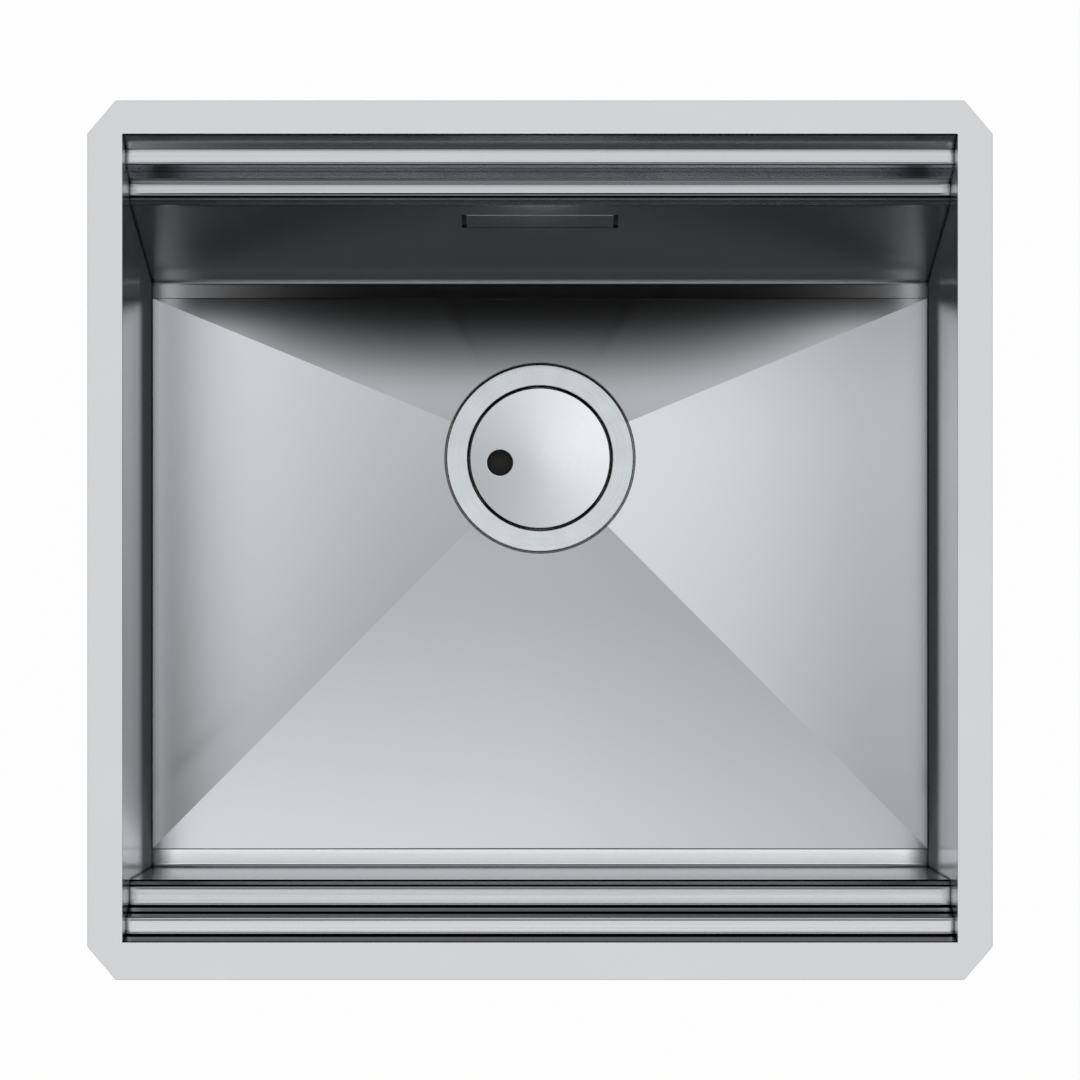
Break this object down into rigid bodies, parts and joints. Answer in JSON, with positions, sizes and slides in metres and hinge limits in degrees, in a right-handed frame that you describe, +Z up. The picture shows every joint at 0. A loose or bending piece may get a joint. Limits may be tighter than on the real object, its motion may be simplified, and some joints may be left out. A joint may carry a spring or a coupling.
{
  "type": "undermount kitchen sink",
  "caption": "Undermount stainless kitchen sink with stepped accessory ledges, creased floor, covered basket waste and flush overflow.",
  "frame": {"origin": "middle of the bowl opening, in the plane of the flange's top face", "axes": "+X right, +Y towards the back wall with the overflow, +Z up out of the bowl"},
  "size_m": [0.542, 0.5265, 0.2921],
  "materials": {
    "flange_steel": "satin sheet, fine grit",
    "wall_steel": "brushed along the length",
    "side_steel": "brushed",
    "floor_steel": "satin",
    "ring_steel": "turned satin",
    "cover_steel": "satin",
    "basket_steel": "pressed and polished",
    "fixing_steel": "plain",
    "brass": "machined",
    "grey_plastic": "moulded polypropylene",
    "pipe_plastic": "extruded polypropylene",
    "black_plastic": "moulded",
    "seal_rubber": "moulded",
    "pad_rubber": "self-adhesive pad"
  },
  "bodies": {
    "bowl": {"flange_frame": "flange_steel", "back_panel": "wall_steel", "front_panel": "wall_steel", "left_side_panel": "side_steel", "right_side_panel": "side_steel", "floor_pan": "floor_steel", "drain_seat": "floor_steel", "pad_left": "pad_rubber", "pad_right": "pad_rubber", "pad_front": "pad_rubber", "pad_back_left": "pad_rubber", "pad_back_right": "pad_rubber", "pad_floor_left": "pad_rubber", "pad_floor_right": "pad_rubber", "pad_floor_front": "pad_rubber", "waste_flange": "ring_steel", "flange_seal": "seal_rubber", "body_seal": "seal_rubber", "waste_body": "grey_plastic", "outlet_tail": "grey_plastic", "overflow_branch": "grey_plastic", "waste_screw": "fixing_steel", "waste_nut": "brass", "overflow_gasket": "seal_rubber", "overflow_housing": "grey_plastic", "overflow_studs": "fixing_steel", "overflow_nuts": "fixing_steel", "overflow_pipe": "pipe_plastic", "housing_pipe_nut": "grey_plastic", "housing_pipe_seal": "seal_rubber", "waste_pipe_nut": "grey_plastic", "waste_pipe_seal": "seal_rubber"},
    "basket": {"strainer_basket": "basket_steel", "basket_floor": "basket_steel"},
    "stopper": {"stopper_knob": "basket_steel", "stopper_seal": "seal_rubber"},
    "cover": {"drain_cover": "cover_steel", "cover_liner": "black_plastic"},
    "overflow_plate": {"overflow_cover": "wall_steel", "overflow_pegs": "black_plastic"}
  },
  "joints": [
    {"name": "basket_lift", "type": "slide", "parent": "bowl", "child": "basket", "axis": [0, 0, 1], "range_m": [0, 0.26]},
    {"name": "stopper_push", "type": "slide", "parent": "basket", "child": "stopper", "axis": [0, 0, -1], "range_m": [0, 0.0057]},
    {"name": "cover_lift", "type": "slide", "parent": "basket", "child": "cover", "axis": [0, 0, 1], "range_m": [0, 0.22]},
    {"name": "overflow_plate_pull", "type": "slide", "parent": "bowl", "child": "overflow_plate", "axis": [0, -0.9715, 0.2368], "range_m": [0, 0.04]}
  ]
}
